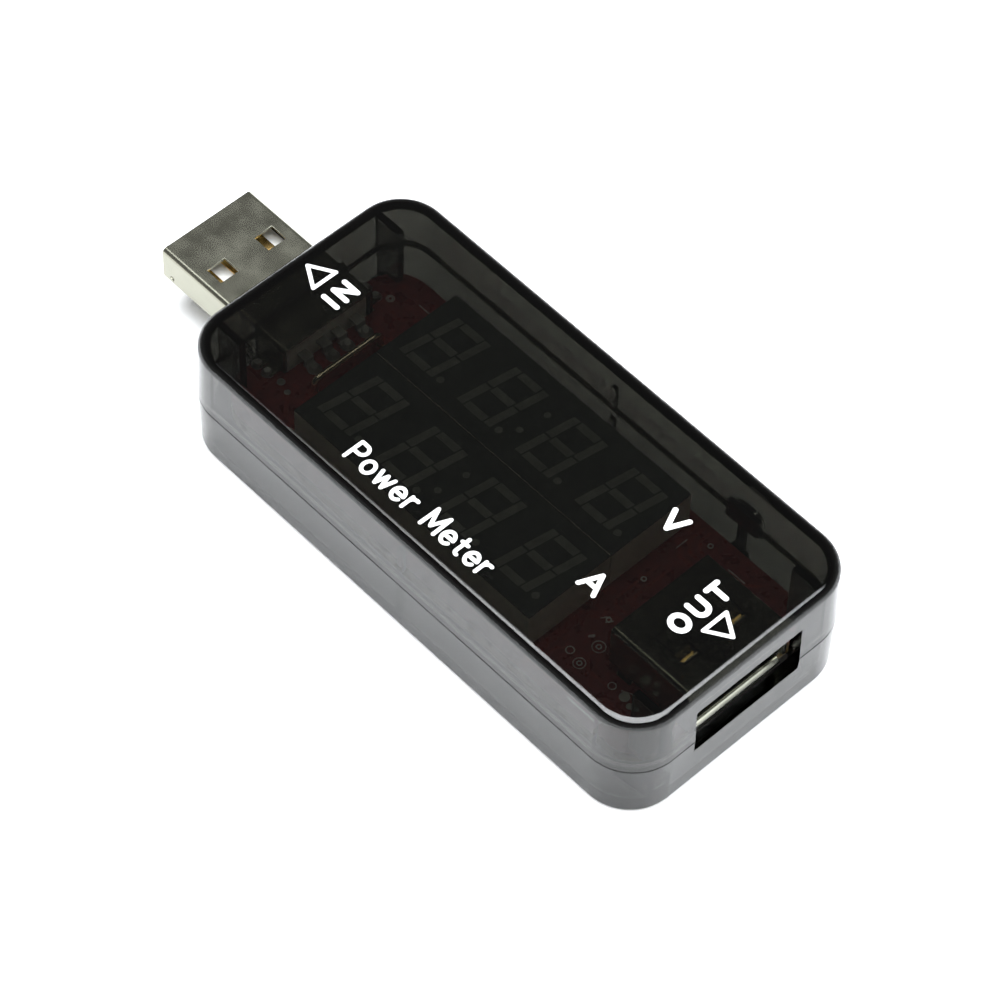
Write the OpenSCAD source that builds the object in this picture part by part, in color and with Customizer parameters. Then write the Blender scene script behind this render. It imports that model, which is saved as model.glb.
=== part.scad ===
// In-line power meter: a plug at the -X end, a socket at the +X end and two four-digit
// displays between them, in a two-part smoked case. Millimetres, +Z up.
// The whole object stands on z = 0 with the middle of its overall length at x = 0.

/* [Case] */
// Length of the case without the plug
case_l = 65.5; // [64:0.5:70]
// Width of the case
case_w = 31.1; // [30:0.5:36]
// Height of the case
case_h = 14.8; // [14.4:0.2:17]
// Radius of the upright corners
corner_r = 5.5; // [4.5:0.5:6.5]
// Wall thickness
wall = 1.5; // [1.2:0.1:1.6]
// Height of the joint line between the two shells
parting_z = 7.1; // [7:0.1:7.4]
// Radius of the upper outside edge
top_r = 1.0; // [0.6:0.1:1.3]
// Radius of the lower outside edge
bottom_r = 0.5; // [0.3:0.1:0.8]

/* [Board] */
// Height of the board's upper face
board_top = 5.6; // [5.5:0.05:5.7]
// Thickness of the board
board_t = 1.6; // [1.5:0.1:1.6]
// Gap between the board's edge and the inside of the case
board_gap = 1.75; // [1.6:0.05:1.9]

/* [Displays] */
// Length of one display module
display_l = 33.7; // [33:0.1:34]
// Width of one display module
display_w = 10.85; // [10.6:0.05:10.95]
// Height of a display's face
display_top = 10.5; // [9.5:0.1:11.5]
// Offset of the displays from the middle of the case
display_x = -3.05; // [-3.5:0.1:-2.8]
// Height of a digit
digit_h = 7.25; // [6.5:0.1:7.6]
// Width of a digit across its foot
digit_w = 4.85; // [4.5:0.1:5]
// Distance from one digit to the next
digit_pitch = 8.42; // [8:0.02:8.5]
// Width of a segment
segment_w = 0.9; // [0.7:0.05:1]
// Slant of the digits in degrees
digit_slant = 9; // [0:1:10]

/* [Plug] */
// Length of the plug outside the case
plug_out = 13.1; // [12:0.1:14]
// Height of the plug's middle
plug_z = 6.5; // [6.4:0.05:6.6]

/* [Socket] */
// Height of the socket's underside
socket_z = 6.0; // [5.95:0.05:6.05]

/* [Side button] */
// Travel of the button
button_travel = 0.25; // [0.2:0.05:0.3]
// Width of the button cap
button_w = 3.5; // [3.3:0.1:4]
// Height of the button cap
button_h = 2.5; // [2.3:0.05:2.8]

/* [Hidden] */
$fn = 48;

case_x = plug_out / 2;             // middle of the case in the overall frame
eps = 0.01;
draft_up = 0.2;                    // lean of the upper shell's sides
draft_down = 0.15;                 // lean of the lower shell's sides
groove = 0.1;                      // bevel of both shells at the joint line
lap_t = 0.65;                      // thickness of the lower shell's inner lip
lap_h = 0.9;                       // height of that lip
lap_play = 0.1;                    // play around that lip
corner_rib_x = 27.9;               // inner end of the upper shell's corner ribs
corner_rib_y = [10.2, 11.05];      // sides of those ribs
tongue_x = 29.7;                   // start of the rib's tongue that passes the board
tongue_end = 31.0;
foot_x = 27.1;                     // inner end of the lower shell's corner feet
foot_y = [9.6, 11.65];
tongue_play = 0.1;
rib_w = 0.7;                       // rib half way along each long wall
rib_t = 0.45;

board_l = case_l - 2 * (wall + board_gap - 0.6);
board_w = case_w - 2 * (wall + board_gap);
board_r = 4.2;
board_bottom = board_top - board_t;

plug_w = 12;                       // shell of the plug, standard size
plug_h = 4.5;
plug_t = 0.3;
plug_r = 0.55;
plug_tip = -case_l / 2 - plug_out;
plug_len = 18.8;
plug_back = plug_tip + plug_len;
plug_bottom = plug_z - plug_h / 2;
window = [2.25, 2.4];              // latch windows in the plug
window_x = plug_tip + 6.25;
window_y = 3.2;
contact_y = [-3.5, -1, 1, 3.5];    // standard contact rows
contact_w = 1.0;
contact_t = 0.2;
blade_z = plug_bottom + 2.15;      // top of the plug's insulator

socket_w = 13.1;                   // shell of the socket, standard size
socket_h = 5.7;
socket_t = 0.3;
socket_back = 20.5;
socket_front = 30.55;
socket_top = socket_z + socket_h;
flare = 0.65;                      // reach of the flared mouth
flare_rise = 0.22;                 // how far its lips stand out
leg_x = [22.6, 28.2];
tongue_top = socket_top - socket_t - 0.65;
tongue_bottom = tongue_top - 1.84;
tongue_w = 11.1;
tongue_front = 30.1;
block_front = 22.9;                // rear block of the socket's insulator
leaf_x = 23.1;                     // root of the sprung contacts
leaf_z = 9.45;
spring_x = 24.0;                   // root of the shield springs
spring_y = 3.2;
spring_w = 1.8;

mouth_w = 14.1;                    // opening for the socket in the case
mouth_z = [5.5, 11.87];
plug_play = 0.15;

button_x = 18.5;
button_z = parting_z + 0.15;       // underside of the cap
button_play = 0.2;
button_face = 0.25;                // depth of the cap's face in the wall

pin_pitch = 2.54;
pin_rows = 4.0;
pin_w = 0.5;
pin_hole = 0.9;
pin_end = 2.9;

shunt_x = -23.2;                   // bent wire that senses the current
shunt_y = [-5.4, 3.6];
shunt_d = 0.7;
shunt_top = 7.75;

mask_t = 0.12;                     // dark face of a display
segment_d = 0.6;                   // depth of the lit segments

controller = [10.2, 5.3, 1.6];     // chips under the board
controller_at = [11.6, 4.6];
lead_count = 14;
regulator_at = [9, -5.5];
resistor_at = [[-14, 0], [-14, 2.2], [-14, -2.2], [-17.5, 1.1], [-17.5, -1.1], [14.5, -2.2], [14.5, -4.2]];
capacitor_at = [[-14, 5], [-14, -5], [13.6, -7.5], [17.2, -7.5]];
chip = [1.3, 1.2];

switch_y = [9.7, board_w / 2];     // switch under the edge of the board
switch_w = 3.6;
switch_h = 1.35;
flange_t = 0.55;                   // flange that holds the button cap in the wall
flange_lip = 0.4;
arm_w = 1.1;                       // arm from the flange down to the switch
arm_t = 0.4;

// ---------- shared shapes ----------

module in_case() { translate([case_x, 0, 0]) children(); }

// A block with round upright corners whose side profile is the child, drawn for a half width.
module profiled_block(l, w, r) {
  for (sx = [-1, 1], sy = [-1, 1])
    translate([sx * (l / 2 - r), sy * (w / 2 - r), 0])
      rotate_extrude() half_profile(r) children();
  rotate([90, 0, 0]) linear_extrude(w - 2 * r, center = true) full_profile(l / 2) children();
  rotate([90, 0, 90]) linear_extrude(l - 2 * r, center = true) full_profile(w / 2) children();
}
module half_profile(half) {
  let ($half = half) intersection() {
    children();
    translate([0, -5]) square([half + 5, case_h + 10]);
  }
}
module full_profile(half) {
  let ($half = half) {
    children();
    mirror([1, 0]) children();
  }
}
module upper_profile() {
  side = $half - draft_up;
  polygon([[0, parting_z], [$half - groove, parting_z], [$half, parting_z + groove],
           [side, case_h - top_r], [0, case_h - top_r]]);
  square_to(side - top_r, parting_z, case_h);
  translate([side - top_r, case_h - top_r]) circle(top_r);
}
module lower_profile() {
  side = $half - draft_down;
  polygon([[0, bottom_r], [side, bottom_r], [$half, parting_z - groove],
           [$half - groove, parting_z], [0, parting_z]]);
  square_to(side - bottom_r, 0, parting_z);
  translate([side - bottom_r, bottom_r]) circle(bottom_r);
}
module square_to(x, z0, z1) { translate([0, z0]) square([x, z1 - z0]); }

module round_slab(l, w, r, z0, z1) {
  translate([0, 0, z0]) linear_extrude(z1 - z0) round_rect(l, w, r);
}
module round_rect(l, w, r) {
  square([l - 2 * r, w], center = true);
  square([l, w - 2 * r], center = true);
  for (sx = [-1, 1], sy = [-1, 1])
    translate([sx * (l / 2 - r), sy * (w / 2 - r)]) circle(r);
}
// Box from its low corner to its high corner.
module box(a, b) { translate(a) cube(b - a); }

module at_corners() {
  for (sx = [-1, 1], sy = [-1, 1]) scale([sx, sy, 1]) children();
}
module cavity(z0, z1, grow = 0) {
  round_slab(case_l - 2 * wall + 2 * grow, case_w - 2 * wall + 2 * grow,
             corner_r - wall + grow, z0, z1);
}
module end_openings() {
  end = case_l / 2;
  box([-end - 1, -plug_w / 2 - plug_play, plug_bottom - plug_play],
      [-end + wall + 1, plug_w / 2 + plug_play, plug_bottom + plug_h + plug_play]);
  box([end - wall - 1, -mouth_w / 2, mouth_z[0]], [end + 1, mouth_w / 2, mouth_z[1]]);
}
// Hole for the side button, open at the joint line and round at its upper corners.
module button_slot(play, y0, y1) {
  r = 1.2 + play;
  w = button_w + 2 * play;
  top = button_z + button_h + play;
  translate([button_x, y1, 0]) rotate([90, 0, 0]) linear_extrude(y1 - y0) {
    translate([-w / 2, button_z - play]) square([w, top - button_z + play - r]);
    translate([-w / 2 + r, button_z - play]) square([w - 2 * r, top - button_z + play]);
    for (s = [-1, 1]) translate([s * (w / 2 - r), top - r]) circle(r);
  }
}

// ---------- case ----------

module long_wall_rib(s, z0, z1) {
  y = s * (case_w / 2 - wall - rib_t / 2 + eps);
  translate([0, y, (z0 + z1) / 2]) cube([rib_w, rib_t + 2 * eps, z1 - z0], center = true);
}

// Plate rib from the roof and the end wall down to the board, with a tongue outside the board.
module corner_rib() {
  inner = case_l / 2 - wall;
  y = corner_rib_y;
  box([corner_rib_x, y[0], parting_z + lap_h + 0.3], [inner + 0.2, y[1], case_h - wall / 2]);
  box([corner_rib_x, y[0], board_top], [tongue_end, y[1], parting_z + lap_h + 0.3 + eps]);
  box([tongue_x, y[0], board_bottom - 1.5], [tongue_end, y[1], board_top + eps]);
}
// Foot that carries the board's corner, with a groove for the rib's tongue.
module corner_foot() {
  difference() {
    box([foot_x, foot_y[0], wall / 2], [case_l / 2 - wall + 0.2, foot_y[1], board_bottom]);
    box([tongue_x - tongue_play, corner_rib_y[0] - tongue_play, board_bottom - 1.5 - tongue_play],
        [case_l / 2, corner_rib_y[1] + tongue_play, board_bottom + 1]);
  }
}
module upper_shell() {
  color([0.1, 0.1, 0.1, 0.5]) in_case() {
    difference() {
      profiled_block(case_l, case_w, corner_r) upper_profile();
      cavity(parting_z - 1, case_h - wall);
      cavity(parting_z - 1, parting_z + lap_h + lap_play, lap_t + lap_play);
      end_openings();
      button_slot(button_play, case_w / 2 - wall - 1, case_w / 2 + 1);
    }
    at_corners() corner_rib();
    for (s = [-1, 1])
      long_wall_rib(s, parting_z + lap_h + 0.3, case_h - 3);
  }
}

module lower_shell() {
  color([0.1, 0.1, 0.1, 0.6]) in_case() difference() {
    union() {
      difference() {
        profiled_block(case_l, case_w, corner_r) lower_profile();
        cavity(wall, parting_z + 1);
      }
      difference() {
        cavity(parting_z - 1, parting_z + lap_h, lap_t);
        cavity(parting_z - 2, parting_z + lap_h + 1);
      }
      at_corners() corner_foot();
      for (s = [-1, 1]) long_wall_rib(s, wall / 2, parting_z - 0.3);
    }
    end_openings();
    box([button_x - button_w / 2 - 0.4, case_w / 2 - wall - 1, parting_z],
        [button_x + button_w / 2 + 0.4, case_w / 2 + 1, parting_z + lap_h + 1]);
  }
}

// ---------- board ----------

module at_display_pins() {
  for (row = [-1, 1], side = [-1, 1], k = [0:5])
    translate([display_x + (k - 2.5) * pin_pitch,
               row * display_w / 2 * 1.01 + side * pin_rows, 0]) children();
}

module circuit_board() {
  color("darkred") in_case() difference() {
    round_slab(board_l, board_w, board_r, board_bottom, board_top);
    box([-case_l / 2, -plug_w / 2 - plug_play, 0], [plug_back + 0.2, plug_w / 2 + plug_play, case_h]);
    at_display_pins() cylinder(case_h, d = pin_hole);
    for (y = contact_y) translate([socket_back - 0.65, y, 0]) cylinder(case_h, d = pin_hole);
    for (y = shunt_y) translate([shunt_x, y, 0]) cylinder(case_h, d = pin_hole);
    for (x = leg_x, s = [-1, 1])
      translate([x, s * (socket_w / 2 - socket_t / 2), board_top])
        cube([2.0, 0.7, 5], center = true);
  }
}

// ---------- plug ----------

module plug_section(grow) {
  rotate([90, 0, 90]) linear_extrude(plug_len)
    round_rect(plug_w + 2 * grow, plug_h + 2 * grow, plug_r + grow);
}
module plug_shell() {
  tab = [1.3, 1.5, 0.3];
  color("silver") in_case() {
    difference() {
      translate([plug_tip, 0, plug_z]) plug_section(0);
      translate([plug_tip - 1, 0, plug_z]) scale([1.2, 1, 1]) plug_section(-plug_t);
      for (s = [-1, 1])
        translate([window_x, s * window_y, plug_z])
          cube([window[0], window[1], plug_h + 1], center = true);
    }
    for (s = [-1, 1], x = [plug_back - 3.2, plug_back - 0.4 - tab[0]])
      translate([x, s > 0 ? plug_w / 2 - 0.1 : -plug_w / 2 - tab[1], board_top])
        cube([tab[0], tab[1] + 0.1, tab[2]]);
    for (s = [-1, 1])
      translate([plug_tip + 1.3, s * plug_w / 2, plug_z - 1.35]) rotate([90, 0, 0])
        cylinder(0.16, r = 0.3, center = true);
  }
}
module plug_blade(k, play = 0) {
  y = contact_y[k];
  w = contact_w / 2 + play;
  start = plug_tip + (k == 0 || k == 3 ? 1.6 : 2.6);
  box([start, y - w, blade_z - play], [plug_back + 1.0, y + w, blade_z + contact_t + play]);
}
module plug_insulator() {
  inner_w = plug_w / 2 - plug_t - 0.35;
  color("ivory") in_case() difference() {
    union() {
      box([plug_tip + 0.5, -inner_w, plug_bottom + plug_t], [plug_back - 0.3, inner_w, blade_z]);
      box([plug_back - 4.6, -inner_w, plug_bottom + plug_t],
          [plug_back - 0.3, inner_w, plug_bottom + plug_h - plug_t]);
    }
    for (k = [0:3]) plug_blade(k);
    for (s = [-1, 1]) translate([window_x, s * window_y, plug_bottom])
      cube([window[0], window[1], 1.2], center = true);
  }
}
module plug_contacts() {
  down = plug_back + 1.0;
  color("gold") in_case() for (k = [0:3]) {
    w = contact_w / 2;
    y = contact_y[k];
    plug_blade(k);
    box([down - contact_t, y - w, board_top], [down, y + w, blade_z + contact_t]);
    box([down - contact_t, y - w, board_top], [down + 0.9, y + w, board_top + contact_t]);
  }
}
module plug_solder() {
  down = plug_back + 1.0;
  color("lightgray") in_case() {
    for (y = contact_y) difference() {
      translate([down + 0.75, y, board_top]) cylinder(0.42, r1 = 0.78, r2 = 0.35);
      box([down - contact_t - 1, y - contact_w / 2, 0],
          [down + 0.9, y + contact_w / 2, board_top + contact_t]);
      box([down - 1, y - 1, 0], [down + eps, y + 1, case_h]);
    }
    for (s = [-1, 1], x = [plug_back - 3.2, plug_back - 1.7]) difference() {
      translate([x + 0.65, s * (plug_w / 2 + 1.35), board_top]) cylinder(0.5, r1 = 0.7, r2 = 0.35);
      box([x, s * (plug_w / 2 + 0.7) - 0.8, 0], [x + 1.3, s * (plug_w / 2 + 0.7) + 0.8, board_top + 0.3]);
    }
  }
}
module current_shunt() {
  bend = 0.9;
  color("peru") in_case() translate([shunt_x, 0, 0]) {
    translate([0, shunt_y[0] + bend, shunt_top - shunt_d / 2]) rotate([-90, 0, 0])
      cylinder(shunt_y[1] - shunt_y[0] - 2 * bend, d = shunt_d);
    for (k = [0, 1]) {
      inward = k == 0 ? 1 : -1;
      translate([0, shunt_y[k], pin_end])
        cylinder(shunt_top - shunt_d / 2 - bend - pin_end, d = shunt_d);
      translate([0, shunt_y[k] + inward * bend, shunt_top - shunt_d / 2 - bend])
        rotate([0, -90, 0]) rotate([0, 0, k == 0 ? -90 : 0])
          rotate_extrude(angle = 90) translate([bend, 0]) circle(d = shunt_d);
    }
  }
}

// ---------- displays ----------

function slant(y) = (y + digit_h / 2) * tan(digit_slant);
// One segment between two corners of an upright digit, slanted with it.
module bar(x0, y0, x1, y1) {
  low = slant(y0);
  high = slant(y1);
  polygon([[x0 + low, y0], [x1 + low, y0], [x1 + high, y1], [x0 + high, y1]]);
}
module digit_shape() {
  h = digit_h / 2;
  w = digit_w / 2;
  t = segment_w;
  gap = 0.11;
  for (s = [-1, 1]) {
    bar(s * w - (s > 0 ? t : 0), -h + 0.08, s * w + (s > 0 ? 0 : t), -gap);
    bar(s * w - (s > 0 ? t : 0), gap, s * w + (s > 0 ? 0 : t), h - 0.08);
  }
  for (y = [-h, -t / 2, h - t])
    bar(-w + t + 1.5 * gap, y, w - t - 1.5 * gap, y + t);
}
module display_marks() {
  for (k = [0:3]) translate([(k - 1.5) * digit_pitch - slant(0), 0]) {
    digit_shape();
    translate([digit_w / 2 + 0.85, -digit_h / 2 + 0.5]) circle(0.42, $fn = 24);
  }
  for (s = [-1, 1]) translate([0.15 + slant(s * 1.65) - slant(0), s * 1.65 + 0.05]) circle(0.38, $fn = 24);
}
module at_display(row) {
  in_case() translate([display_x, row * display_w / 2 * 1.01, 0]) children();
}
module display_housing(row) {
  at_display(row) difference() {
    box([-display_l / 2, -display_w / 2, board_top + 0.05],
        [display_l / 2, display_w / 2, display_top - mask_t]);
    translate([0, 0, display_top - segment_d]) linear_extrude(1) display_marks();
    box([-display_l / 2 + 1.2, -display_w / 2 + 2.8, 0],
        [display_l / 2 - 1.2, display_w / 2 - 2.8, board_top + 0.9]);
  }
}
module display_mask(row) {
  at_display(row) translate([0, 0, display_top - mask_t]) linear_extrude(mask_t) difference() {
    square([display_l, display_w], center = true);
    display_marks();
  }
}
module display_segments(row) {
  at_display(row) translate([0, 0, display_top - segment_d]) linear_extrude(segment_d) display_marks();
}
module display_pins(row) {
  at_display(row) for (side = [-1, 1], k = [0:5])
    translate([(k - 2.5) * pin_pitch, side * pin_rows, (pin_end + board_top + 0.05) / 2])
      cube([pin_w, pin_w, board_top + 0.05 - pin_end], center = true);
}
module display_v_housing() { color("tan") display_housing(1); }
module display_v_mask() { color([0.12, 0.14, 0.14]) display_mask(1); }
module display_v_segments() { color("gray") display_segments(1); }
module display_v_pins() { color("silver") display_pins(1); }
module display_a_housing() { color("tan") display_housing(-1); }
module display_a_mask() { color([0.12, 0.14, 0.14]) display_mask(-1); }
module display_a_segments() { color("gray") display_segments(-1); }
module display_a_pins() { color("silver") display_pins(-1); }
module display_solder() {
  color("lightgray") in_case() at_display_pins() difference() {
    translate([0, 0, board_bottom - 0.75]) cylinder(0.75, r1 = 0.38, r2 = 0.8);
    cube([pin_w, pin_w, 20], center = true);
  }
}

// ---------- socket ----------

module socket_section(grow, l) {
  rotate([90, 0, 90]) linear_extrude(l)
    round_rect(socket_w + 2 * grow, socket_h + 2 * grow, max(0.35, 0.5 + grow));
}
module socket_shell() {
  mid = socket_z + socket_h / 2;
  length = socket_front - socket_back;
  color("silver") in_case() {
    difference() {
      translate([socket_back, 0, mid]) socket_section(0, length);
      translate([socket_back - 1, 0, mid]) socket_section(-socket_t, length + 2);
      for (s = [-1, 1])
        translate([spring_x - 0.05, s * spring_y - spring_w / 2 - 0.2, socket_z - 1])
          cube([4.25, spring_w + 0.4, socket_h + 2]);
    }
    for (s = [-1, 1]) {
      flared_lip(s, 12.1, socket_h / 2);
      side_lip(s, 4.2);
    }
    for (x = leg_x, s = [-1, 1])
      translate([x, s * (socket_w / 2 - socket_t / 2), (pin_end + socket_z + 1) / 2])
        cube([1.6, socket_t, socket_z + 1 - pin_end], center = true);
  }
}
// Section of the flared mouth: it curves away from the shell's wall at half.
module flare_profile(half, rise) {
  curve = [[0, 0], [0.16, 0.05], [0.38, 0.24], [0.68, 0.58], [1, 1]];
  outer = [for (p = curve) [p[0] * flare, half + p[1] * rise]];
  inner = [for (k = [len(curve) - 1:-1:0]) [outer[k][0], outer[k][1] - socket_t]];
  polygon(concat(outer, inner));
}
// Flared lip along the top or bottom of the socket's mouth.
module flared_lip(s, w, half) {
  translate([socket_front, w / 2, socket_z + socket_h / 2]) scale([1, 1, s]) rotate([90, 0, 0])
    linear_extrude(w) flare_profile(half, flare_rise);
}
// Flared lip on each side of the socket's mouth.
module side_lip(s, h) {
  half = socket_w / 2;
  translate([socket_front, 0, socket_z + (socket_h - h) / 2]) scale([1, s, 1])
    linear_extrude(h) flare_profile(half, flare_rise);
}
module tail_path(y, play = 0) {
  w = 0.35 + play;
  back = socket_back - 0.65;
  box([back - 0.15 - play, y - w, leaf_z - play], [leaf_x - 0.1, y + w, leaf_z + contact_t + play]);
}
module socket_insulator() {
  gap = 0.11;
  inner_w = socket_w / 2 - socket_t - gap;
  floor_z = socket_z + socket_t + gap;
  roof_z = socket_top - socket_t - gap;
  color("ivory") in_case() difference() {
    union() {
      box([socket_back, -inner_w, floor_z], [block_front, inner_w, roof_z]);
      difference() {
        box([block_front - 1, -tongue_w / 2, tongue_bottom], [tongue_front, tongue_w / 2, tongue_top]);
        translate([tongue_front, 0, tongue_bottom]) rotate([0, 45, 0])
          cube([0.7, tongue_w + 1, 0.7], center = true);
      }
    }
    for (y = contact_y) {
      tail_path(y);
      box([block_front - 0.2, y - 0.7, tongue_bottom - 3], [29.4, y + 0.7, leaf_z + 0.55]);
    }
  }
}
module socket_tails() {
  back = socket_back - 0.65;
  color("gold") in_case() for (y = contact_y) {
    tail_path(y);
    box([back - 0.15, y - 0.35, pin_end], [back + 0.1, y + 0.35, leaf_z + contact_t]);
  }
}
module socket_solder() {
  color("lightgray") in_case() {
    for (y = contact_y) difference() {
      translate([socket_back - 0.65, y, board_bottom - 0.75]) cylinder(0.75, r1 = 0.4, r2 = 0.8);
      translate([socket_back - 0.8, y - 0.35, 0]) cube([0.25, 0.7, 20]);
    }
    for (x = leg_x, s = [-1, 1]) difference() {
      translate([x, s * (socket_w / 2 - socket_t / 2), board_bottom - 0.7])
        cylinder(0.7, r1 = 0.85, r2 = 1.3);
      translate([x, s * (socket_w / 2 - socket_t / 2), 0]) cube([1.6, socket_t, 20], center = true);
    }
    for (y = shunt_y) difference() {
      translate([shunt_x, y, board_bottom - 0.7]) cylinder(0.7, r1 = 0.5, r2 = 1.0);
      translate([shunt_x, y, 0]) cylinder(20, d = shunt_d);
    }
  }
}
// Sprung contact: a leaf that hangs below the tongue and curls back up at its tip.
module contact_leaf(k) {
  t = contact_t;
  bump = [27.3, tongue_bottom - 0.45];
  tip = [28.7, tongue_bottom + 0.1];
  color("gold") in_case() translate([0, contact_y[k] + 0.5, 0]) rotate([90, 0, 0]) linear_extrude(1.0)
    polygon([[leaf_x, leaf_z], bump, [bump[0] + 0.4, bump[1]], tip, [tip[0] - 0.12, tip[1] + t],
             [bump[0] + 0.35, bump[1] + t], [bump[0] + 0.05, bump[1] + t], [leaf_x, leaf_z + t]]);
}
module socket_contact_1() { contact_leaf(0); }
module socket_contact_2() { contact_leaf(1); }
module socket_contact_3() { contact_leaf(2); }
module socket_contact_4() { contact_leaf(3); }
// Shield spring: a tongue cut from the shell that leans inwards to grip the plug.
module shield_spring(side, s) {
  mid = socket_z + socket_h / 2;
  t = socket_t - 0.05;
  out = socket_h / 2 - 0.02;
  color("goldenrod") in_case() translate([spring_x, side * spring_y + spring_w / 2, mid])
    scale([1, 1, s]) rotate([90, 0, 0]) linear_extrude(spring_w)
      polygon([[0.05, out], [0.05, out - t], [2.65, out - t - 0.06], [3.05, out - t - 0.45],
               [3.35, out - t - 0.45], [3.85, out - t - 0.1], [3.75, out - 0.12],
               [3.3, out - 0.45], [3.1, out - 0.45], [2.7, out - 0.06]]);
}
module socket_spring_upper_near() { shield_spring(-1, 1); }
module socket_spring_upper_far() { shield_spring(1, 1); }
module socket_spring_lower_near() { shield_spring(-1, -1); }
module socket_spring_lower_far() { shield_spring(1, -1); }

// ---------- parts under the board ----------

module controller_body() {
  color([0.15, 0.15, 0.15]) in_case()
    translate([controller_at[0], controller_at[1], board_bottom - 0.1 - controller[2] / 2]) difference() {
      cube(controller, center = true);
      translate([-controller[0] / 2 + 0.9, 1.8, -controller[2] / 2]) cylinder(0.2, r = 0.4, center = true);
    }
}
module controller_leads() {
  half = controller[1] / 2;
  color("silver") in_case() translate([controller_at[0], controller_at[1], 0])
    for (s = [-1, 1], k = [0:lead_count - 1])
      translate([(k - (lead_count - 1) / 2) * 0.65 + 0.14, 0, board_bottom]) scale([1, s, 1])
        rotate([0, -90, 0]) linear_extrude(0.28)
          polygon([[-0.95, half], [-0.95, half + 0.4], [-0.15, half + 0.4], [-0.15, half + 1],
                   [0, half + 1], [0, half + 0.25], [-0.8, half + 0.25], [-0.8, half]]);
}
module regulator_body() {
  color([0.15, 0.15, 0.15]) in_case()
    translate([regulator_at[0], regulator_at[1], board_bottom - 0.8]) cube([4.5, 2.5, 1.4], center = true);
}
module regulator_leads() {
  color("silver") in_case() translate([regulator_at[0], regulator_at[1], board_bottom - 0.35]) {
    for (k = [-1:1]) translate([k * 1.5 - 0.2, -2.2, 0]) cube([0.4, 0.95, 0.35]);
    translate([-0.9, 1.25, 0]) cube([1.8, 0.7, 0.35]);
  }
}
module chip_resistors() {
  color([0.1, 0.1, 0.1]) in_case() for (p = resistor_at)
    translate([p[0], p[1], board_bottom - 0.25]) cube([chip[0], chip[1], 0.45], center = true);
}
module chip_capacitors() {
  color("burlywood") in_case() for (p = capacitor_at)
    translate([p[0], p[1], board_bottom - 0.45]) cube([chip[0], chip[1], 0.85], center = true);
}
module end_caps(at, h) {
  for (p = at, s = [-1, 1])
    translate([p[0] + s * (chip[0] / 2 + 0.175), p[1], board_bottom - h / 2])
      cube([0.35, chip[1] + 0.02, h], center = true);
}
module chip_terminals() {
  color("silver") in_case() {
    end_caps(resistor_at, 0.5);
    end_caps(capacitor_at, 0.9);
  }
}

// ---------- side button ----------

module side_button() {
  outer = case_w / 2 - button_face;
  flange = case_w / 2 - wall - 0.2;
  color([0.08, 0.08, 0.08]) in_case() {
    button_slot(0, flange - eps, outer);
    box([button_x - button_w / 2 - flange_lip, flange - flange_t, button_z + 0.45],
        [button_x + button_w / 2 + flange_lip, flange, button_z + button_h + flange_lip]);
    box([button_x - arm_w / 2, flange - arm_t, board_bottom - 1.2],
        [button_x + arm_w / 2, flange - eps, button_z + 0.6]);
    box([button_x - arm_w, switch_y[1] + 0.65, board_bottom - 1.2],
        [button_x + arm_w, flange - eps, board_bottom - 0.2]);
  }
}
module switch_body() {
  color([0.2, 0.2, 0.2]) in_case() difference() {
    box([button_x - switch_w / 2, switch_y[0], board_bottom - switch_h],
        [button_x + switch_w / 2, switch_y[1] - 0.05, board_bottom - 0.02]);
    box([button_x - 1.15, switch_y[0] + 0.9, board_bottom - 1.1],
        [button_x + 1.15, switch_y[1] + 1, board_bottom - 0.25]);
  }
}
module switch_plunger() {
  color("ivory") in_case()
    box([button_x - 1.05, switch_y[1] - 0.3, board_bottom - 1.0],
        [button_x + 1.05, switch_y[1] + 0.65, board_bottom - 0.35]);
}
module switch_dome() {
  r = 1.6;
  back = switch_y[0] + 1.0;
  color("gold") in_case() translate([button_x, back - r + 0.45, board_bottom - 1.0])
    intersection() {
      difference() {
        cylinder(0.6, r = r);
        translate([0, 0, -1]) cylinder(3, r = r - 0.1);
      }
      translate([-1.05, r - 0.5, 0]) cube([2.1, 1, 1]);
    }
}
module switch_terminals() {
  color("silver") in_case() for (s = [-1, 1])
    translate([button_x + s * (switch_w / 2 + 0.3), (switch_y[0] + switch_y[1]) / 2, board_bottom - 0.1])
      cube([0.6, 1.4, 0.2], center = true);
}

upper_shell();
lower_shell();
circuit_board();
plug_shell();
plug_insulator();
plug_contacts();
plug_solder();
current_shunt();
display_v_housing();
display_v_mask();
display_v_segments();
display_v_pins();
display_a_housing();
display_a_mask();
display_a_segments();
display_a_pins();
display_solder();
socket_shell();
socket_insulator();
socket_tails();
socket_solder();
socket_contact_1();
socket_contact_2();
socket_contact_3();
socket_contact_4();
socket_spring_upper_near();
socket_spring_upper_far();
socket_spring_lower_near();
socket_spring_lower_far();
controller_body();
controller_leads();
regulator_body();
regulator_leads();
chip_resistors();
chip_capacitors();
chip_terminals();
side_button();
switch_body();
switch_plunger();
switch_dome();
switch_terminals();
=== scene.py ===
import math

import bmesh
import bpy
from mathutils import Matrix, Vector


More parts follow.
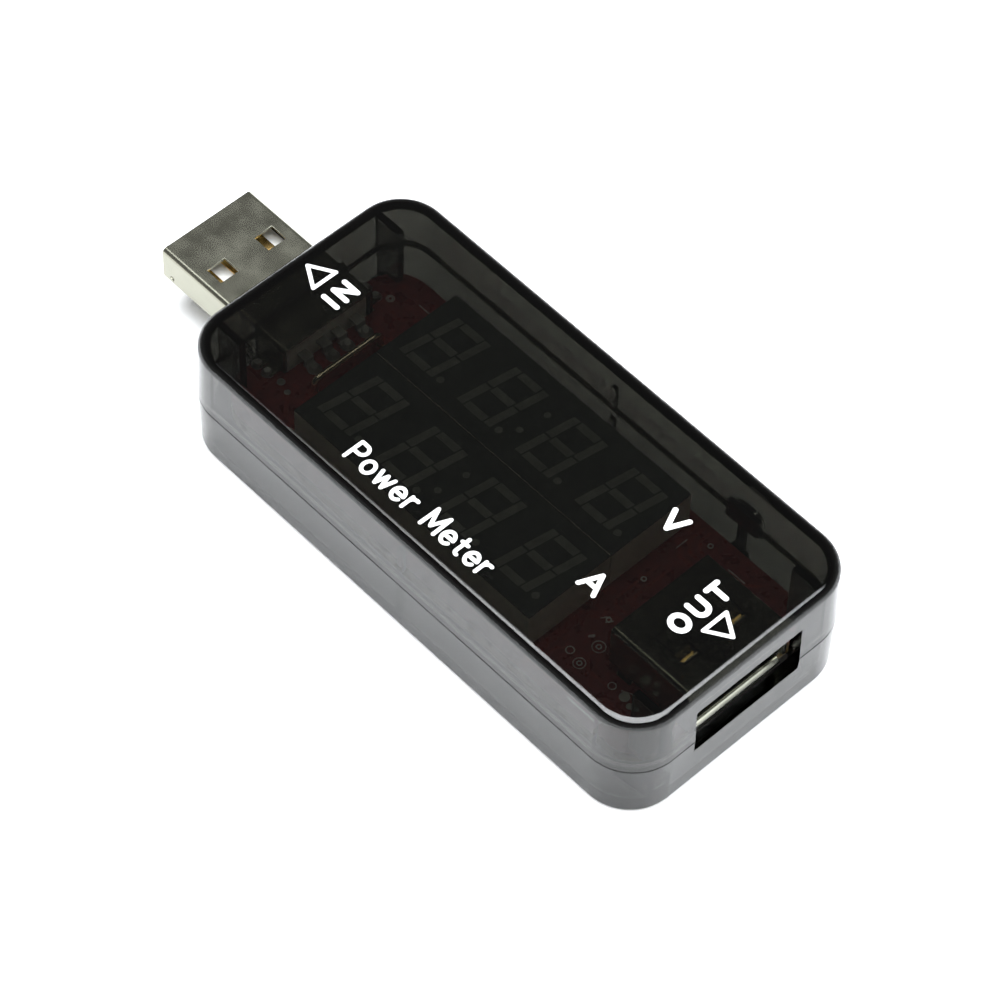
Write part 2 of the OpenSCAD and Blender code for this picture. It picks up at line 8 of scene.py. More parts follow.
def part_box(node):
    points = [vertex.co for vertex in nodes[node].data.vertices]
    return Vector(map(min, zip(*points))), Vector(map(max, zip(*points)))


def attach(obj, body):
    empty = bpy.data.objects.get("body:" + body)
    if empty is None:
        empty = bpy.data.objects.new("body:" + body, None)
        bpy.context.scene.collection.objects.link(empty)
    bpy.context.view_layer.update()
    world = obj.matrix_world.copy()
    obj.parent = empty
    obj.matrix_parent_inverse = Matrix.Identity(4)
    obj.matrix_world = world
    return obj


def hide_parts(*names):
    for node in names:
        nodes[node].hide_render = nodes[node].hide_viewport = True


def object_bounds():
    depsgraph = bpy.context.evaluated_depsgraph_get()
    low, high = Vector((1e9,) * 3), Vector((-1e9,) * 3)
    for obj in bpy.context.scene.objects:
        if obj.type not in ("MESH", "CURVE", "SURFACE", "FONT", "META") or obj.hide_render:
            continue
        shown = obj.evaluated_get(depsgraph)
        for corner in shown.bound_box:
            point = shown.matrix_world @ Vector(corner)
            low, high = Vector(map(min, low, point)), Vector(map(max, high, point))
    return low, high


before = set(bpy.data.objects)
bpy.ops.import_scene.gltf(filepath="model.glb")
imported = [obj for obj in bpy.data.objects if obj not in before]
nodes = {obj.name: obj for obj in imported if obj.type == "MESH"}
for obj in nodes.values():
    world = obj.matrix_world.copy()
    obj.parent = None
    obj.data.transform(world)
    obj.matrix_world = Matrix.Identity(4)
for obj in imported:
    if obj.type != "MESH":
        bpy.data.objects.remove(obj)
cad_low, cad_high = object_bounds()
MM = 0.001

CAMERA_ANGLES = (44.94, 53.76, 2.29)      # azimuth, elevation and roll, in degrees
CAMERA_TARGET = (5.13, -0.2, 5.0)         # millimetres
CAMERA_DISTANCE = 407.9                   # millimetres
CAMERA_LENS = 148.2                       # on a sensor 36 wide

FLOOR_HALF = 6                # metres
FLOOR_GAP = 0.02              # millimetres between the floor and the meter
BACKDROP = (0.93, 0.93, 0.93)
SOFTBOX = 10.0                # brightness of the overhead light
SOFTBOX_TINT = (0.95, 0.975, 1.0)
SOFTBOX_AXIS = (0.05, 0, 1)
SOFTBOX_EDGE = (24, 33)       # degrees from its middle where it starts and ends fading
ROOM = (0.42, 0.1)            # the room at eye level and high up
ROOM_HIGH = 0.8               # height, as a sine, where the room is darkest

NOISE_SPAN = (0.3, 0.7)       # where nearly all of a noise texture's values lie
CASE_DENSITY = 1280           # how strongly the case's plastic absorbs light
SHIELD_DARK = (0.31, 0.313, 0.262)        # the tones of the socket's plating
SHIELD_LIGHT = (0.355, 0.358, 0.30)
SPRING_BEND = 1.15            # millimetres from a spring's tip to its bend
CONTACT_ROWS = (-3.5, -1.0, 1.0, 3.5)     # Y of the plug's contacts, in millimetres
INK_HEIGHT = 0.01             # millimetres above the case
FACES_A_STROKE = 31           # about how many faces a stroke has
STROKE_LEVELS = 6             # heights that strokes take in turn
STROKE_STEP = 0.0009          # millimetres from one of them to the next


# ---------- camera, floor and light ----------

def aim(azimuth, elevation, roll=0.0):
    """Rotation of a camera or lamp that looks down on its target; azimuth 0 looks along +Y."""
    a = math.radians(azimuth)
    e = math.radians(elevation)
    back = Vector((math.sin(a) * math.cos(e), -math.cos(a) * math.cos(e), math.sin(e)))
    right = Vector((0, 0, 1)).cross(back).normalized()
    up = back.cross(right)
    turn = Matrix.Rotation(math.radians(roll), 3, back)
    right = turn @ right
    up = turn @ up
    return Matrix((right, up, back)).transposed(), back


def make_camera():
    """The camera, at the angle from which the meter is shown."""
    data = bpy.data.cameras.new("camera")
    data.lens = CAMERA_LENS
    data.sensor_width = 36
    data.clip_start = 0.01
    data.clip_end = 20
    camera = bpy.data.objects.new("camera", data)
    bpy.context.scene.collection.objects.link(camera)
    turn, back = aim(*CAMERA_ANGLES)
    target = Vector(CAMERA_TARGET) * MM
    camera.matrix_world = Matrix.Translation(target + back * CAMERA_DISTANCE * MM) @ turn.to_4x4()
    bpy.context.scene.camera = camera


def make_stage():
    """A pale matt floor just under the meter, which glows a little so that it stays white."""
    mesh = bpy.data.meshes.new("floor")
    form = bmesh.new()
    bmesh.ops.create_grid(form, x_segments=2, y_segments=2, size=FLOOR_HALF)
    form.to_mesh(mesh)
    form.free()
    floor = bpy.data.objects.new("floor", mesh)
    bpy.context.scene.collection.objects.link(floor)
    floor.location.z = cad_low.z - FLOOR_GAP * MM
    material, tree, shader = surface("floor_white", roughness=0.6)
    shader.inputs["Base Color"].default_value = (0.86, 0.86, 0.86, 1)
    shader.inputs["Emission Color"].default_value = (1, 1, 1, 1)
    shader.inputs["Emission Strength"].default_value = 0.08
    grain = noise(tree, 900, detail=3)
    colour_between(tree, shader, grain, (0.84, 0.84, 0.84), (0.88, 0.88, 0.88))
    mesh.materials.append(material)
    make_studio()


def make_studio():
    """A dim room with one big round soft light overhead, and a pale background behind the floor."""
    world = bpy.data.worlds.new("studio")
    bpy.context.scene.world = world
    world.use_nodes = True
    tree = world.node_tree
    where = tree.nodes.new("ShaderNodeTexCoord")
    facing = tree.nodes.new("ShaderNodeVectorMath")
    facing.operation = "DOT_PRODUCT"
    facing.inputs[1].default_value = Vector(SOFTBOX_AXIS).normalized()
    tree.links.new(where.outputs["Generated"], facing.inputs[0])
    edge = span(tree, facing.outputs["Value"], math.cos(math.radians(SOFTBOX_EDGE[1])),
                math.cos(math.radians(SOFTBOX_EDGE[0])), 0, 1, smooth=True)
    height = tree.nodes.new("ShaderNodeSeparateXYZ")
    tree.links.new(where.outputs["Generated"], height.inputs[0])
    upward = span(tree, height.outputs["Z"], 0, ROOM_HIGH, 0, 1)
    room = blend_colour(tree, upward, (ROOM[0],) * 3, (ROOM[1],) * 3)
    lit = blend_colour(tree, edge, room, tuple(SOFTBOX * c for c in SOFTBOX_TINT))
    path = tree.nodes.new("ShaderNodeLightPath")
    seen = blend_colour(tree, path.outputs["Is Camera Ray"], lit, BACKDROP)
    tree.links.new(seen, tree.nodes["Background"].inputs["Color"])
    bpy.context.scene.view_settings.view_transform = "Standard"


# ---------- material helpers ----------

def surface(name, colour=(0.8, 0.8, 0.8), metallic=0.0, roughness=0.5, ior=1.5):
    """A new Principled material: (material, its node tree, the shader)."""
    material = bpy.data.materials.new(name)
    material.use_nodes = True
    tree = material.node_tree
    shader = tree.nodes["Principled BSDF"]
    shader.inputs["Base Color"].default_value = (*colour, 1)
    shader.inputs["Metallic"].default_value = metallic
    shader.inputs["Roughness"].default_value = roughness
    shader.inputs["IOR"].default_value = ior
    return material, tree, shader


def position(tree, stretch=(1, 1, 1)):
    """Where a point is on its object, in metres, with each axis stretched."""
    where = tree.nodes.new("ShaderNodeTexCoord")
    mapping = tree.nodes.new("ShaderNodeMapping")
    mapping.inputs["Scale"].default_value = stretch
    tree.links.new(where.outputs["Object"], mapping.inputs["Vector"])
    return mapping.outputs["Vector"]


def noise(tree, scale, detail=4.0, stretch=(1, 1, 1)):
    """Soft noise from 0 to 1, with scale features to the metre."""
    texture = tree.nodes.new("ShaderNodeTexNoise")
    texture.inputs["Scale"].default_value = scale
    texture.inputs["Detail"].default_value = detail
    texture.inputs["Roughness"].default_value = 0.55
    tree.links.new(position(tree, stretch), texture.inputs["Vector"])
    return texture.outputs["Fac"]


def span(tree, value, low_in, high_in, low_out, high_out, smooth=False):
    """value taken from one range to another, clamped."""
    node = tree.nodes.new("ShaderNodeMapRange")
    node.interpolation_type = "SMOOTHSTEP" if smooth else "LINEAR"
    for name, number in (("From Min", low_in), ("From Max", high_in),
                         ("To Min", low_out), ("To Max", high_out)):
        node.inputs[name].default_value = number
    tree.links.new(value, node.inputs["Value"])
    return node.outputs["Result"]


def blend_colour(tree, factor, dark, light):
    """Colour that goes from dark to light with factor; each end is a colour or a socket."""
    node = tree.nodes.new("ShaderNodeMix")
    node.data_type = "RGBA"
    tree.links.new(factor, node.inputs[0])
    for end, colour in ((node.inputs[6], dark), (node.inputs[7], light)):
        if isinstance(colour, tuple):
            end.default_value = (*colour, 1)
        else:
            tree.links.new(colour, end)
    return node.outputs[2]


def colour_between(tree, shader, factor, dark, light):
    """Gives the shader a colour that follows a noise from dark to light."""
    even = span(tree, factor, *NOISE_SPAN, 0, 1)
    tree.links.new(blend_colour(tree, even, dark, light), shader.inputs["Base Color"])


def roughness_between(tree, shader, factor, low, high):
    """Gives the shader a roughness that follows a noise from low to high."""
    tree.links.new(span(tree, factor, *NOISE_SPAN, low, high), shader.inputs["Roughness"])


def bump(tree, shader, height, depth, strength):
    """Raises the surface by up to depth, in metres, where height is high."""
    node = tree.nodes.new("ShaderNodeBump")
    node.inputs["Strength"].default_value = strength
    node.inputs["Distance"].default_value = depth
    tree.links.new(height, node.inputs["Height"])
    tree.links.new(node.outputs["Normal"], shader.inputs["Normal"])


# ---------- materials ----------

def smoked_plastic(name):
    """Polished dark see-through plastic that lets lamplight through to what it holds."""
    material, tree, shader = surface(name, (1, 1, 1), roughness=0.03, ior=1.56)
    shader.inputs["Transmission Weight"].default_value = 1.0
    roughness_between(tree, shader, noise(tree, 260, detail=6), 0.01, 0.03)
    bump(tree, shader, noise(tree, 330, detail=2), 0.0012 * MM, 0.5)
    inside = tree.nodes.new("ShaderNodeVolumeAbsorption")
    inside.inputs["Color"].default_value = (0.052, 0.05, 0.0, 1)
    inside.inputs["Density"].default_value = CASE_DENSITY
    output = tree.nodes["Material Output"]
    tree.links.new(inside.outputs["Volume"], output.inputs["Volume"])
    open_to_lamps(tree, shader, output)
    return material


def open_to_lamps(tree, shader, output):
    """Lets rays from lamps pass straight through the glass; the absorption still dims them."""
    path = tree.nodes.new("ShaderNodeLightPath")
    clear = tree.nodes.new("ShaderNodeBsdfTransparent")
    mix = tree.nodes.new("ShaderNodeMixShader")
    tree.links.new(path.outputs["Is Shadow Ray"], mix.inputs[0])
    tree.links.new(shader.outputs["BSDF"], mix.inputs[1])
    tree.links.new(clear.outputs["BSDF"], mix.inputs[2])
    tree.links.new(mix.outputs["Shader"], output.inputs["Surface"])


def solder_mask():
    """Red board: mottled lacquer on its faces, and bare glass fibre on its edges."""
    material, tree, shader = surface("board_lacquer", roughness=0.3)
    mottle = noise(tree, 700, detail=5)
    even = span(tree, mottle, *NOISE_SPAN, 0, 1)
    lacquer = blend_colour(tree, even, (0.095, 0.008, 0.009), (0.14, 0.012, 0.013))
    geometry = tree.nodes.new("ShaderNodeNewGeometry")
    split = tree.nodes.new("ShaderNodeSeparateXYZ")
    tree.links.new(geometry.outputs["Normal"], split.inputs[0])
    flat = tree.nodes.new("ShaderNodeMath")
    flat.operation = "ABSOLUTE"
    tree.links.new(split.outputs["Z"], flat.inputs[0])
    weave = noise(tree, 3500, stretch=(1, 1, 6))
    fibre = blend_colour(tree, weave, (0.24, 0.17, 0.07), (0.42, 0.33, 0.17))
    faces = span(tree, flat.outputs[0], 0.4, 0.6, 0, 1)
    tree.links.new(blend_colour(tree, faces, fibre, lacquer), shader.inputs["Base Color"])
    roughness_between(tree, shader, mottle, 0.22, 0.4)
    bump(tree, shader, noise(tree, 5000), 0.006 * MM, 0.4)
    return material


def metal(name, dark, light, roughness, grain=(1, 1, 1), scale=9000, depth=0.0008):
    """Plated or bare metal: tone and roughness drift slowly, over a fine satin grain."""
    material, tree, shader = surface(name, light, metallic=1.0)
    drift = noise(tree, scale * 0.04, detail=4)
    colour_between(tree, shader, drift, dark, light)
    marks = noise(tree, scale, detail=3, stretch=grain)
    roughness_between(tree, shader, drift, roughness * 0.85, roughness * 1.15)
    bump(tree, shader, marks, depth * MM, 0.35)
    return material


def spring_plate():
    """The shield's plating, with a painted sheen of bright gold where the springs bend in to grip a plug.
    """
    material, tree, shader = surface("spring_plate", metallic=1.0, roughness=0.2)
    split = tree.nodes.new("ShaderNodeSeparateXYZ")
    tree.links.new(position(tree), split.inputs[0])
    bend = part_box(SPRINGS[0])[1].x - SPRING_BEND * MM
    drift = noise(tree, 1400, detail=4)
    grey = blend_colour(tree, drift, SHIELD_DARK, SHIELD_LIGHT)
    gold = blend_colour(tree, drift, (0.88, 0.70, 0.38), (0.97, 0.84, 0.55))
    # painted sheen: past the bend, the curled spring tips are painted bright gold for the light they
    # catch
    tip_sheen = span(tree, split.outputs["X"], bend - 0.1 * MM, bend + 0.1 * MM, 0, 1)
    tree.links.new(blend_colour(tree, tip_sheen, grey, gold), shader.inputs["Base Color"])
    roughness_between(tree, shader, drift, 0.11, 0.17)
    bump(tree, shader, noise(tree, 9000, detail=3), 0.0008 * MM, 0.35)
    return material


def plastic(name, dark, light, roughness, scale=1800, depth=0.01, scatter=0.0):
    """Moulded plastic: faint mottling, a fine skin texture and uneven gloss."""
    material, tree, shader = surface(name, light)
    colour_between(tree, shader, noise(tree, scale * 0.35, detail=5), dark, light)
    skin = noise(tree, scale, detail=6)
    roughness_between(tree, shader, skin, roughness * 0.8, roughness * 1.2)
    bump(tree, shader, skin, depth * MM, 0.5)
    if scatter:
        shader.inputs["Subsurface Weight"].default_value = scatter
        shader.inputs["Subsurface Scale"].default_value = 0.6 * MM
        shader.inputs["Subsurface Radius"].default_value = (1, 0.9, 0.7)
    return material


# ---------- pieces in mesh code ----------

def piece_from(form, name, material, body="root"):
    """A piece from a mesh under construction, which rides on a body."""
    bmesh.ops.recalc_face_normals(form, faces=form.faces)
    mesh = bpy.data.meshes.new(name)
    form.to_mesh(mesh)
    form.free()
    mesh.materials.append(material)
    thing = bpy.data.objects.new(name, mesh)
    bpy.context.scene.collection.objects.link(thing)
    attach(thing, body)
    return thing


def softened(member, name, width, body="root"):
    """A copy of a CAD node with its sharp edges rounded, which stands for that node."""
    form = bmesh.new()
    form.from_mesh(nodes[member].data)
    bmesh.ops.remove_doubles(form, verts=form.verts, dist=0.00005 * MM)
    bmesh.ops.dissolve_limit(form, angle_limit=math.radians(1), verts=form.verts, edges=form.edges)
    thing = piece_from(form, name, nodes[member].data.materials[0], body)
    rounding = thing.modifiers.new("rounding", "BEVEL")
    rounding.width = width * MM
    rounding.segments = 2
    rounding.limit_method = "ANGLE"
    rounding.angle_limit = math.radians(35)
    rounding.use_clamp_overlap = True
    even = thing.modifiers.new("even_shading", "WEIGHTED_NORMAL")
    even.weight = 100
    for face in thing.data.polygons:
        face.use_smooth = True
    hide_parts(member)
    return thing


def arc(centre, radius, start, end, steps=10):
    """Points on an arc, in degrees from +X; radius is a number or one for each axis."""
    rx, ry = radius if isinstance(radius, tuple) else (radius, radius)
    angles = [math.radians(start + (end - start) * k / steps) for k in range(steps + 1)]
    return [(centre[0] + rx * math.cos(a), centre[1] + ry * math.sin(a)) for a in angles]


def ribbon(form, points, width, z0, z1, closed=False):
    """A raised stroke of one width along points, in millimetres, with round ends unless it is
    closed. It goes from z0 to z1, in metres."""
    way = [Vector(p) for p in points]
    if closed and (way[0] - way[-1]).length < 1e-6:
        way.pop()
    half = width / 2
    count = len(way)
    sides = []
    for k, here in enumerate(way):
        before = way[k - 1] if k or closed else here
        after = way[(k + 1) % count] if k < count - 1 or closed else here
        ahead = (after - here).normalized() if after != here else (here - before).normalized()
        behind = (here - before).normalized() if before != here else ahead
        middle = (ahead + behind).normalized()
        reach = half / max(0.5, middle.dot(ahead))
        normal = Vector((-middle.y, middle.x)) * reach
        sides.append((here + normal, here - normal))
    if closed:
        rings = [[a for a, b in sides], [b for a, b in sides]]
        tops = [[form.verts.new((p.x * MM, p.y * MM, z1)) for p in ring] for ring in rings]
        feet = [[form.verts.new((p.x * MM, p.y * MM, z0)) for p in ring] for ring in rings]
        for k in range(count):
            n = (k + 1) % count
            form.faces.new((tops[0][k], tops[1][k], tops[1][n], tops[0][n]))
            form.faces.new((feet[0][k], feet[0][n], feet[1][n], feet[1][k]))
            for ring in (0, 1):
                form.faces.new((tops[ring][k], tops[ring][n], feet[ring][n], feet[ring][k]))
        return
    first = math.atan2(way[1].y - way[0].y, way[1].x - way[0].x)
    last = math.atan2(way[-1].y - way[-2].y, way[-1].x - way[-2].x)
    cap = [math.radians(a) for a in range(-90 + 15, 90, 15)]
    outline = [b for a, b in sides]
    outline += [way[-1] + half * Vector((math.cos(last + a), math.sin(last + a))) for a in cap]
    outline += [a for a, b in reversed(sides)]
    outline += [way[0] - half * Vector((math.cos(first + a), math.sin(first + a))) for a in cap]
    top = [form.verts.new((p.x * MM, p.y * MM, z1)) for p in outline]
    foot = [form.verts.new((p.x * MM, p.y * MM, z0)) for p in outline]
    form.faces.new(top)
    form.faces.new(list(reversed(foot)))
    for k in range(len(top)):
        n = (k + 1) % len(top)
        form.faces.new((top[k], foot[k], foot[n], top[n]))


# Each letter is (width, strokes); the height of a capital is 1.
LETTERS = {
    "P": (0.56, [[(0, 0), (0, 1), (0.3, 1), *arc((0.3, 0.74), 0.26, 90, -90), (0, 0.48)]]),
    "o": (0.52, [[*arc((0.26, 0.32), (0.26, 0.32), 0, 360, 24)]]),
    "w": (0.72, [[(0, 0.64), (0.18, 0), (0.36, 0.6), (0.54, 0), (0.72, 0.64)]]),
    "e": (0.52, [[(0.02, 0.34), (0.52, 0.34), *arc((0.26, 0.32), (0.26, 0.32), 5, 320, 20)]]),
    "r": (0.3, [[(0, 0), (0, 0.64)], [(0, 0.36), *arc((0.25, 0.36), (0.25, 0.27), 175, 75, 6)]]),
    "t": (0.32, [[(0.13, 0.88), (0.13, 0.16), *arc((0.27, 0.14), 0.14, 180, 275, 6)],
                 [(0, 0.62), (0.32, 0.62)]]),
    "M": (0.76, [[(0, 0), (0.02, 1), (0.38, 0.2), (0.74, 1), (0.76, 0)]]),
    "V": (0.9, [[(0, 1), (0.45, 0), (0.9, 1)]]),
    "A": (0.9, [[(0, 0), (0.45, 1), (0.9, 0)], [(0.2, 0.34), (0.7, 0.34)]]),
    "I": (0.0, [[(0, 0), (0, 1)]]),
    "N": (0.78, [[(0, 0), (0, 1), (0.78, 0), (0.78, 1)]]),
    "O": (0.86, [[*arc((0.43, 0.5), (0.43, 0.5), 0, 360, 28)]]),
    "U": (0.76, [[(0, 1), (0, 0.38), *arc((0.38, 0.38), 0.38, 180, 360), (0.76, 1)]]),
    "T": (0.76, [[(0.38, 0), (0.38, 1)], [(0, 1), (0.76, 1)]]),
}
SPACE = 0.26


def lettering(name, text, start, end, base, height, stroke, turned=False):
    """Raised ink letters from start to end along their line, in millimetres from the middle of the
    case, outside edges included. Upright letters stand on y = base; turned ones stand on x = base
    and read along +Y."""
    form = bmesh.new()
    size = height - stroke
    widths = [SPACE if c == " " else LETTERS[c][0] for c in text]
    gap = (end - start - stroke * len(text) - size * sum(widths)) / max(1, len(text) - 1)
    along = start + stroke / 2
    for c, width in zip(text, widths):
        for points in [] if c == " " else LETTERS[c][1]:
            line = [(along + size * u, size * v + stroke / 2) for u, v in points]
            line = [(base - v, u) for u, v in line] if turned else [(u, base + v) for u, v in line]
            draw(form, line, stroke, closed=c in "oO")
        along += size * width + stroke + gap
    return piece_from(form, name, ink)


def draw(form, line, stroke, closed=False):
    """A raised ink stroke on the top of the case, in millimetres from the middle of the case. Each
    is a hair higher than the last few, so that no two faces lie in one plane where strokes cross."""
    for part in [line] if closed else split_at_corners(line):
        step = len(form.faces) / FACES_A_STROKE % STROKE_LEVELS * STROKE_STEP
        ribbon(form, [(case_mid + x, y) for x, y in part], stroke, case_top - 0.002 * MM,
               case_top + (INK_HEIGHT + step) * MM, closed=closed)


def split_at_corners(line):
    """The line cut wherever it turns by more than 50 degrees, so that no stroke folds over itself."""
    parts = [[line[0]]]
    for k in range(1, len(line)):
        parts[-1].append(line[k])
        if k < len(line) - 1:
            here = Vector(line[k]) - Vector(line[k - 1])
            ahead = Vector(line[k + 1]) - Vector(line[k])
            if here.length > 0 and ahead.length > 0 and here.angle(ahead) > math.radians(50):
                parts.append([line[k]])
    return parts


def triangle(name, tip, base, sides, stroke):
    """An outlined arrowhead with rounded corners; sides are the Y of its base corners."""
    middle = sum(sides) / 2
    inward = 1 if base > tip else -1
    foot = base - inward * stroke / 2
    corners = [(tip + inward * stroke * 1.1, middle), (foot, sides[0] + stroke * 0.7),
               (foot, sides[1] - stroke * 0.7)]
    form = bmesh.new()
    for k in range(3):
        draw(form, [corners[k], corners[(k + 1) % 3]], stroke)
    return piece_from(form, name, ink)


def make_legends():
    """The printing on the top: plain words, unit letters and arrows."""
    lettering("legend_in", "IN", -1.35, 2.0, -24.25, 2.5, 0.58, turned=True)
    triangle("arrow_in", -31.0, -27.75, (-1.45, 2.2), 0.42)
    lettering("legend_volts", "V", 15.55, 18.1, 3.95, 2.75, 0.58)
    lettering("legend_amperes", "A", 15.45, 18.15, -6.7, 2.8, 0.52)
    lettering("legend_out", "OUT", -3.7, 3.65, 26.75, 2.5, 0.6, turned=True)
    triangle("arrow_out", 30.5, 27.4, (-1.85, 1.85), 0.42)
    lettering("legend_name", "Power Meter", -10.6, 9.1, -13.0, 2.85, 0.42)


# ---------- the top of the board ----------

def board_piece(name, material, thickness, lines=(), loops=(), discs=()):
    """Strokes, rings and dots on the board, in millimetres from the middle of the case."""
    form = bmesh.new()
    z0 = board_top - 0.003 * MM
    z1 = board_top + thickness * MM
    for width, *points in lines:
        ribbon(form, [(case_mid + x, y) for x, y in points], width, z0, z1)
    for width, x, y, radius in loops:
        circle = [(case_mid + u, v) for u, v in arc((x, y), radius, 0, 360, 28)]
        ribbon(form, circle, width, z0, z1, closed=True)
    for x, y, radius in discs:
        ribbon(form, [(case_mid + x - 0.01, y), (case_mid + x + 0.01, y)], 2 * radius, z0, z1)
    return piece_from(form, name, material)


def block(form, low, high):
    """A box with its upright edges cut back, in metres."""
    made = bmesh.ops.create_cube(form, size=1)["verts"]
    for vert in made:
        vert.co = Vector([low[k] + (vert.co[k] + 0.5) * (high[k] - low[k]) for k in range(3)])
    edges = {e for v in made for e in v.link_edges}
    bmesh.ops.bevel(form, geom=list(edges), offset=0.03 * MM, segments=2, affect="EDGES")


def make_tinned_tails():
    """Solder drawn up over the tails of the plug's contacts."""
    low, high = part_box("plug_contacts")
    form = bmesh.new()
    for y in CONTACT_ROWS:
        block(form, (high.x - 1.14 * MM, (y - 0.6) * MM, board_top + 0.02 * MM),
              (high.x - 0.84 * MM, (y + 0.6) * MM, high.z + 0.02 * MM))
        block(form, (high.x - 2.18 * MM, (y - 0.56) * MM, high.z - 0.23 * MM),
              (high.x - 1.1 * MM, (y + 0.56) * MM, high.z + 0.03 * MM))
        block(form, (high.x - 0.9 * MM, (y - 0.6) * MM, board_top - 0.01 * MM),
              (high.x + 0.04 * MM, (y + 0.6) * MM, board_top + 0.25 * MM))
    piece_from(form, "tinned_tails", bpy.data.materials["solder_tin"])


def make_module_seam():
    """The moulded edge that shows between the two display modules."""
    near_low, near_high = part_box("display_a_housing")
    far_low, far_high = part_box("display_v_housing")
    form = bmesh.new()
    block(form, (near_low.x + 0.1 * MM, near_high.y + 0.01 * MM, far_high.z - 0.6 * MM),
          (near_high.x - 0.1 * MM, far_low.y - 0.01 * MM, far_high.z + 0.06 * MM))
    seam = plastic("module_edge", (0.42, 0.40, 0.34), (0.55, 0.52, 0.45), 0.4, scale=3000, depth=0.002)
    piece_from(form, "module_seam", seam)


def make_board_details():
    """The lacquered tracks, printed outlines, and tinned vias and pads on the board."""
    copper = plastic("track_lacquer", (0.13, 0.012, 0.011), (0.17, 0.019, 0.015), 0.3,
                     scale=2500, depth=0.002)
    screen = plastic("board_ink", (0.26, 0.22, 0.21), (0.36, 0.32, 0.30), 0.6, scale=4000, depth=0.004)
    board_piece("board_tracks", copper, 0.02, lines=TRACKS)
    board_piece("board_outlines", screen, 0.03, lines=MARKS, loops=RINGS)
    board_piece("board_vias", bpy.data.materials["solder_tin"], 0.035,
                loops=[(0.16, x, y, 0.24) for x, y in VIAS], discs=PADS)


# Where the details lie on the board, in millimetres from the middle of the case. A track and a
# printed mark are (width, point, point, ...).
TRACKS = [
    # between the displays and the socket, far side
    (0.5, (14.5, 11.6), (14.5, 9.0), (16.0, 7.5), (19.6, 7.5)),
    (0.35, (15.3, 11.6), (15.3, 9.6), (16.4, 8.5), (21.5, 8.5)),
    (0.35, (16.1, 11.6), (16.1, 10.2), (16.9, 9.4), (22.5, 9.4), (24.0, 10.9)),
    # between the displays and the socket, near side
    (0.9, (14.6, -11.5), (14.6, -4.2), (16.4, -2.4), (19.3, -2.4)),
    (0.35, (15.7, -11.5), (15.7, -8.8), (16.4, -8.1), (18.0, -8.1)),
    (0.6, (17.0, -10.9), (22.0, -10.9), (23.2, -9.7), (27.0, -9.7)),
    (0.35, (18.4, -5.8), (18.4, -7.2), (19.6, -8.4), (22.4, -8.4)),
    (0.3, (16.5, 5.6), (16.5, 0.9), (17.4, 0.0), (19.4, 0.0)),
    (0.3, (15.4, 5.2), (15.4, -0.6), (16.0, -1.2), (19.4, -1.2)),
    # around the plug's inner end, near side
    (1.2, (-21.4, -11.2), (-21.4, -7.6), (-23.2, -5.8)),
    (0.5, (-22.8, -11.2), (-22.8, -9.6), (-24.9, -7.5), (-26.2, -7.5)),
    (0.5, (-29.2, -6.6), (-27.6, -8.2), (-27.6, -9.6), (-25.8, -11.2)),
    # around the plug's inner end, far side
    (0.9, (-21.4, 11.2), (-21.4, 6.0), (-23.2, 4.2)),
    (0.4, (-22.7, 11.2), (-22.7, 8.6), (-24.1, 7.2), (-25.6, 7.2)),
    (0.4, (-29.0, 7.0), (-27.8, 8.2), (-26.9, 8.3)),
    (0.3, (-20.6, 3.4), (-20.6, -3.2)),
]
# A printed ring is (width, x, y, radius).
RINGS = [
    (0.15, 16.8, -8.1, 0.42), (0.12, 18.4, -5.8, 0.68), (0.12, 18.5, -8.5, 0.62),
    (0.14, -26.9, 8.3, 0.42), (0.12, 22.5, -8.0, 0.4),
]
MARKS = [
    (0.16, (16.1, -3.3), (16.6, -2.6)), (0.16, (16.8, -3.3), (17.2, -2.7)),
    (0.3, (16.9, -5.6), (17.15, -5.25)), (0.16, (20.4, -11.4), (24.6, -11.4)),
    (0.14, (23.5, -7.7), (24.6, -7.2)), (0.14, (24.0, -6.0), (24.8, -5.3)),
    (0.14, (-24.2, 9.9), (-22.6, 9.9)), (0.14, (15.1, 9.4), (15.1, 8.0)),
    (0.14, (20.4, 9.9), (22.6, 9.9)),
]
# A via is (x, y), and a pad is (x, y, radius).
VIAS = [
    (18.4, -5.8), (18.5, -8.5), (16.8, -2.9), (15.6, 3.0), (-26.9, 8.3), (-20.9, -1.4), (17.2, 10.6),
]
PADS = [
    (-29.5, -7.3, 0.5), (-26.3, -7.1, 0.45), (-24.9, -7.5, 0.35), (24.2, -8.0, 0.55),
    (25.3, -8.4, 0.35), (25.95, -7.6, 0.28), (20.9, -10.6, 0.4),
]


def paint(material, *members):
    """Gives the CAD nodes named members one material."""
    for member in members:
        data = nodes[member].data
        data.materials.clear()
        data.materials.append(material)


make_camera()
make_stage()

case_low, case_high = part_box("upper_shell")
case_mid = (case_low.x + case_high.x) / 2 / MM
case_top = case_high.z
board_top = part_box("circuit_board")[1].z

SPRINGS = [n for n in nodes if n.startswith("socket_spring")]
LEAVES = [n for n in nodes if n.startswith("socket_contact")]

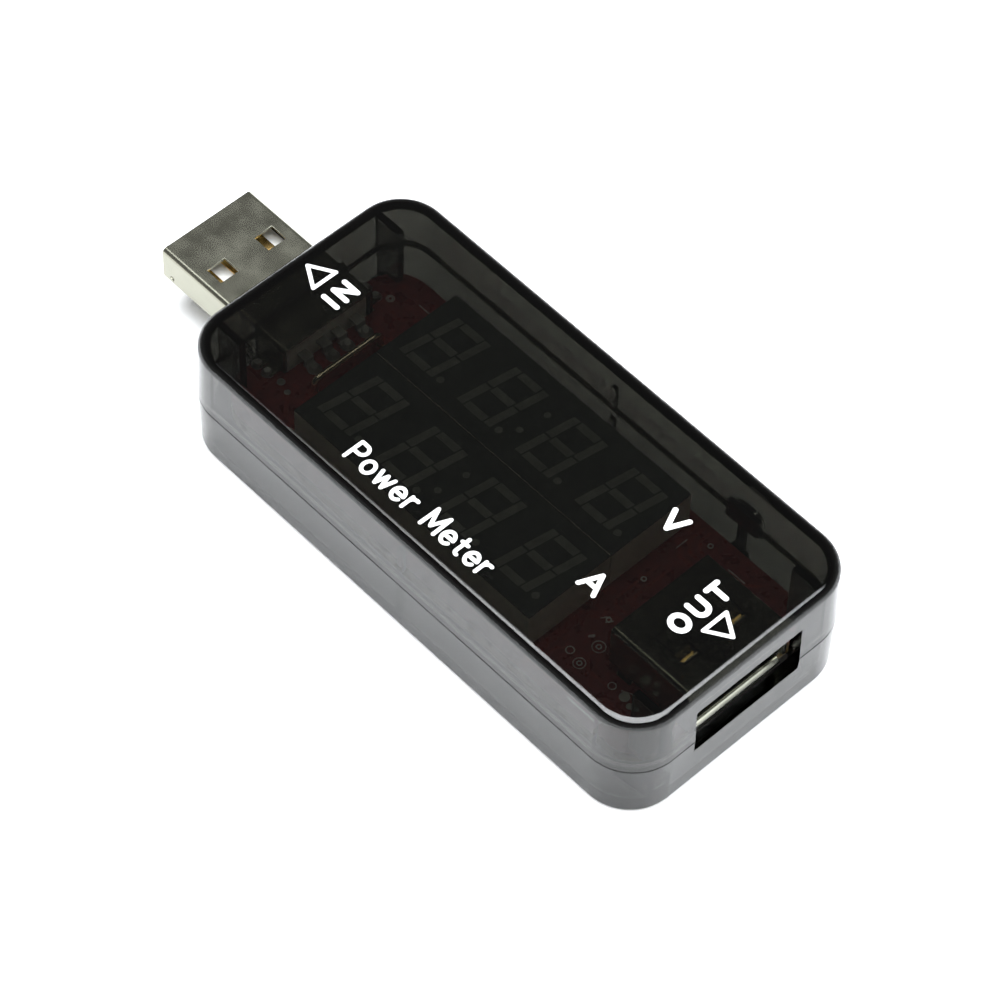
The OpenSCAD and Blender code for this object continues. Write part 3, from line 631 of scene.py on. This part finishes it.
paint(smoked_plastic("smoked_plastic_upper"), "upper_shell")
paint(smoked_plastic("smoked_plastic_lower"), "lower_shell")
paint(solder_mask(), "circuit_board")
paint(metal("nickel_plate", (0.31, 0.308, 0.245), (0.345, 0.342, 0.275), 0.22, grain=(0.3, 1, 1)),
      "plug_shell")
paint(metal("shield_plate", SHIELD_DARK, SHIELD_LIGHT, 0.15, grain=(0.3, 1, 1)), "socket_shell")
paint(metal("gold_plate", (0.80, 0.50, 0.14), (0.95, 0.66, 0.26), 0.24),
      "plug_contacts", "socket_tails", "switch_dome", *LEAVES)
paint(spring_plate(), *SPRINGS)
paint(plastic("ivory_plastic", (0.78, 0.77, 0.73), (0.86, 0.85, 0.82), 0.42, scatter=0.2),
      "plug_insulator")
paint(plastic("socket_plastic", (0.018, 0.018, 0.02), (0.03, 0.03, 0.032), 0.4), "socket_insulator")
paint(metal("solder_tin", (0.30, 0.30, 0.29), (0.46, 0.46, 0.44), 0.38, depth=0.012),
      "plug_solder", "display_solder", "socket_solder")
paint(metal("shunt_alloy", (0.82, 0.70, 0.50), (0.95, 0.84, 0.66), 0.12), "current_shunt")
paint(metal("tinned_lead", (0.60, 0.60, 0.58), (0.75, 0.75, 0.73), 0.3),
      "display_v_pins", "display_a_pins", "controller_leads", "regulator_leads", "chip_terminals",
      "switch_terminals")
paint(plastic("display_case", (0.60, 0.56, 0.48), (0.70, 0.66, 0.58), 0.5),
      "display_v_housing", "display_a_housing")
paint(plastic("display_film", (0.012, 0.016, 0.015), (0.02, 0.026, 0.024), 0.42, scale=2600, depth=0.006),
      "display_v_mask", "display_a_mask")
paint(plastic("display_resin", (0.095, 0.10, 0.09), (0.125, 0.13, 0.118), 0.35, scatter=0.2),
      "display_v_segments", "display_a_segments")
paint(plastic("chip_epoxy", (0.012, 0.012, 0.013), (0.022, 0.022, 0.024), 0.55),
      "controller_body", "regulator_body")
paint(plastic("resistor_glaze", (0.01, 0.01, 0.012), (0.02, 0.02, 0.024), 0.25), "chip_resistors")
paint(plastic("capacitor_ceramic", (0.42, 0.28, 0.15), (0.55, 0.38, 0.22), 0.4), "chip_capacitors")
paint(plastic("black_plastic", (0.012, 0.012, 0.013), (0.02, 0.02, 0.022), 0.16, depth=0.0008),
      "side_button", "switch_body")
paint(plastic("plunger_plastic", (0.7, 0.69, 0.66), (0.8, 0.79, 0.76), 0.45), "switch_plunger")

softened("plug_shell", "plug_shield", 0.07)
softened("socket_shell", "socket_shield", 0.07)
softened("side_button", "button_cap", 0.15, body="button")
make_board_details()
make_tinned_tails()
make_module_seam()
ink = plastic("white_ink", (0.84, 0.84, 0.83), (0.92, 0.92, 0.91), 0.45, scale=5000, depth=0.003)
make_legends()
